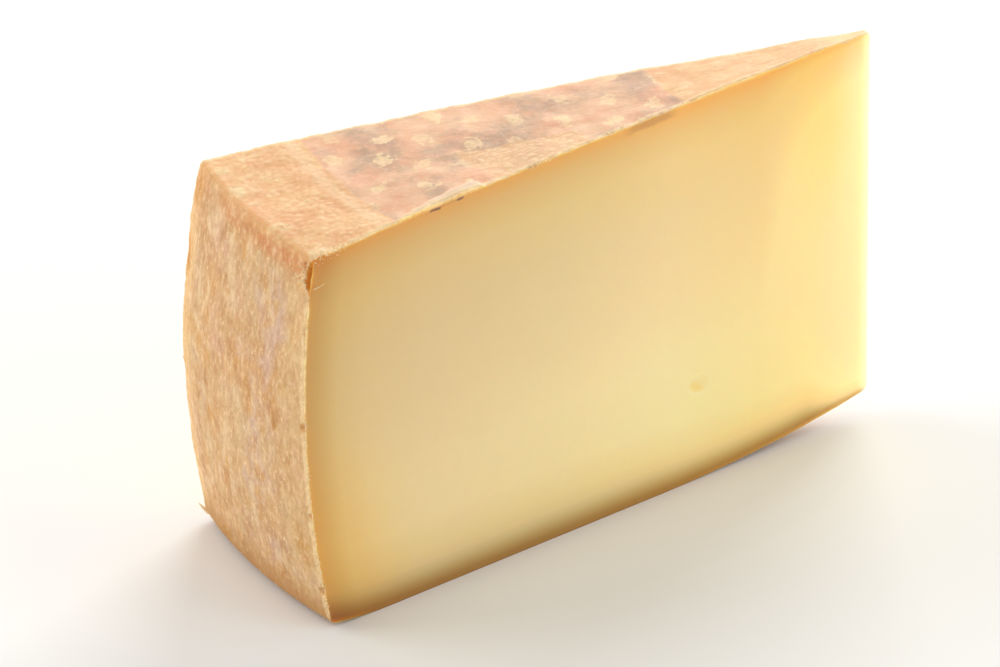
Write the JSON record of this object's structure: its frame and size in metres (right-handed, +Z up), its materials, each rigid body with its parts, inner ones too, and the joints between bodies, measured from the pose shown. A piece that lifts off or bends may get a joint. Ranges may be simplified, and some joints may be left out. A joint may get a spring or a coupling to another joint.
{
  "type": "hard cheese wedge",
  "caption": "Wedge of washed-rind hard cheese cut from a wheel, with a crusty rind on heel, top and base and a smooth pale paste with a small eye.",
  "frame": {"origin": "middle of the base of the wedge's bounding box, on the surface that the wedge rests on", "axes": "+Z up; +X from the rind at the heel to the tip, which was the middle of the wheel; +Y from the cut with the eye in it to the other cut"},
  "size_m": [0.1598, 0.0616, 0.0948],
  "materials": {
    "cheese": "waxy satin pale yellow paste with a matte tan to salmon rind",
    "rind": "matte dry crumbly rind"
  },
  "bodies": {
    "root": {"cheese_wedge": "cheese"}
  },
  "joints": []
}
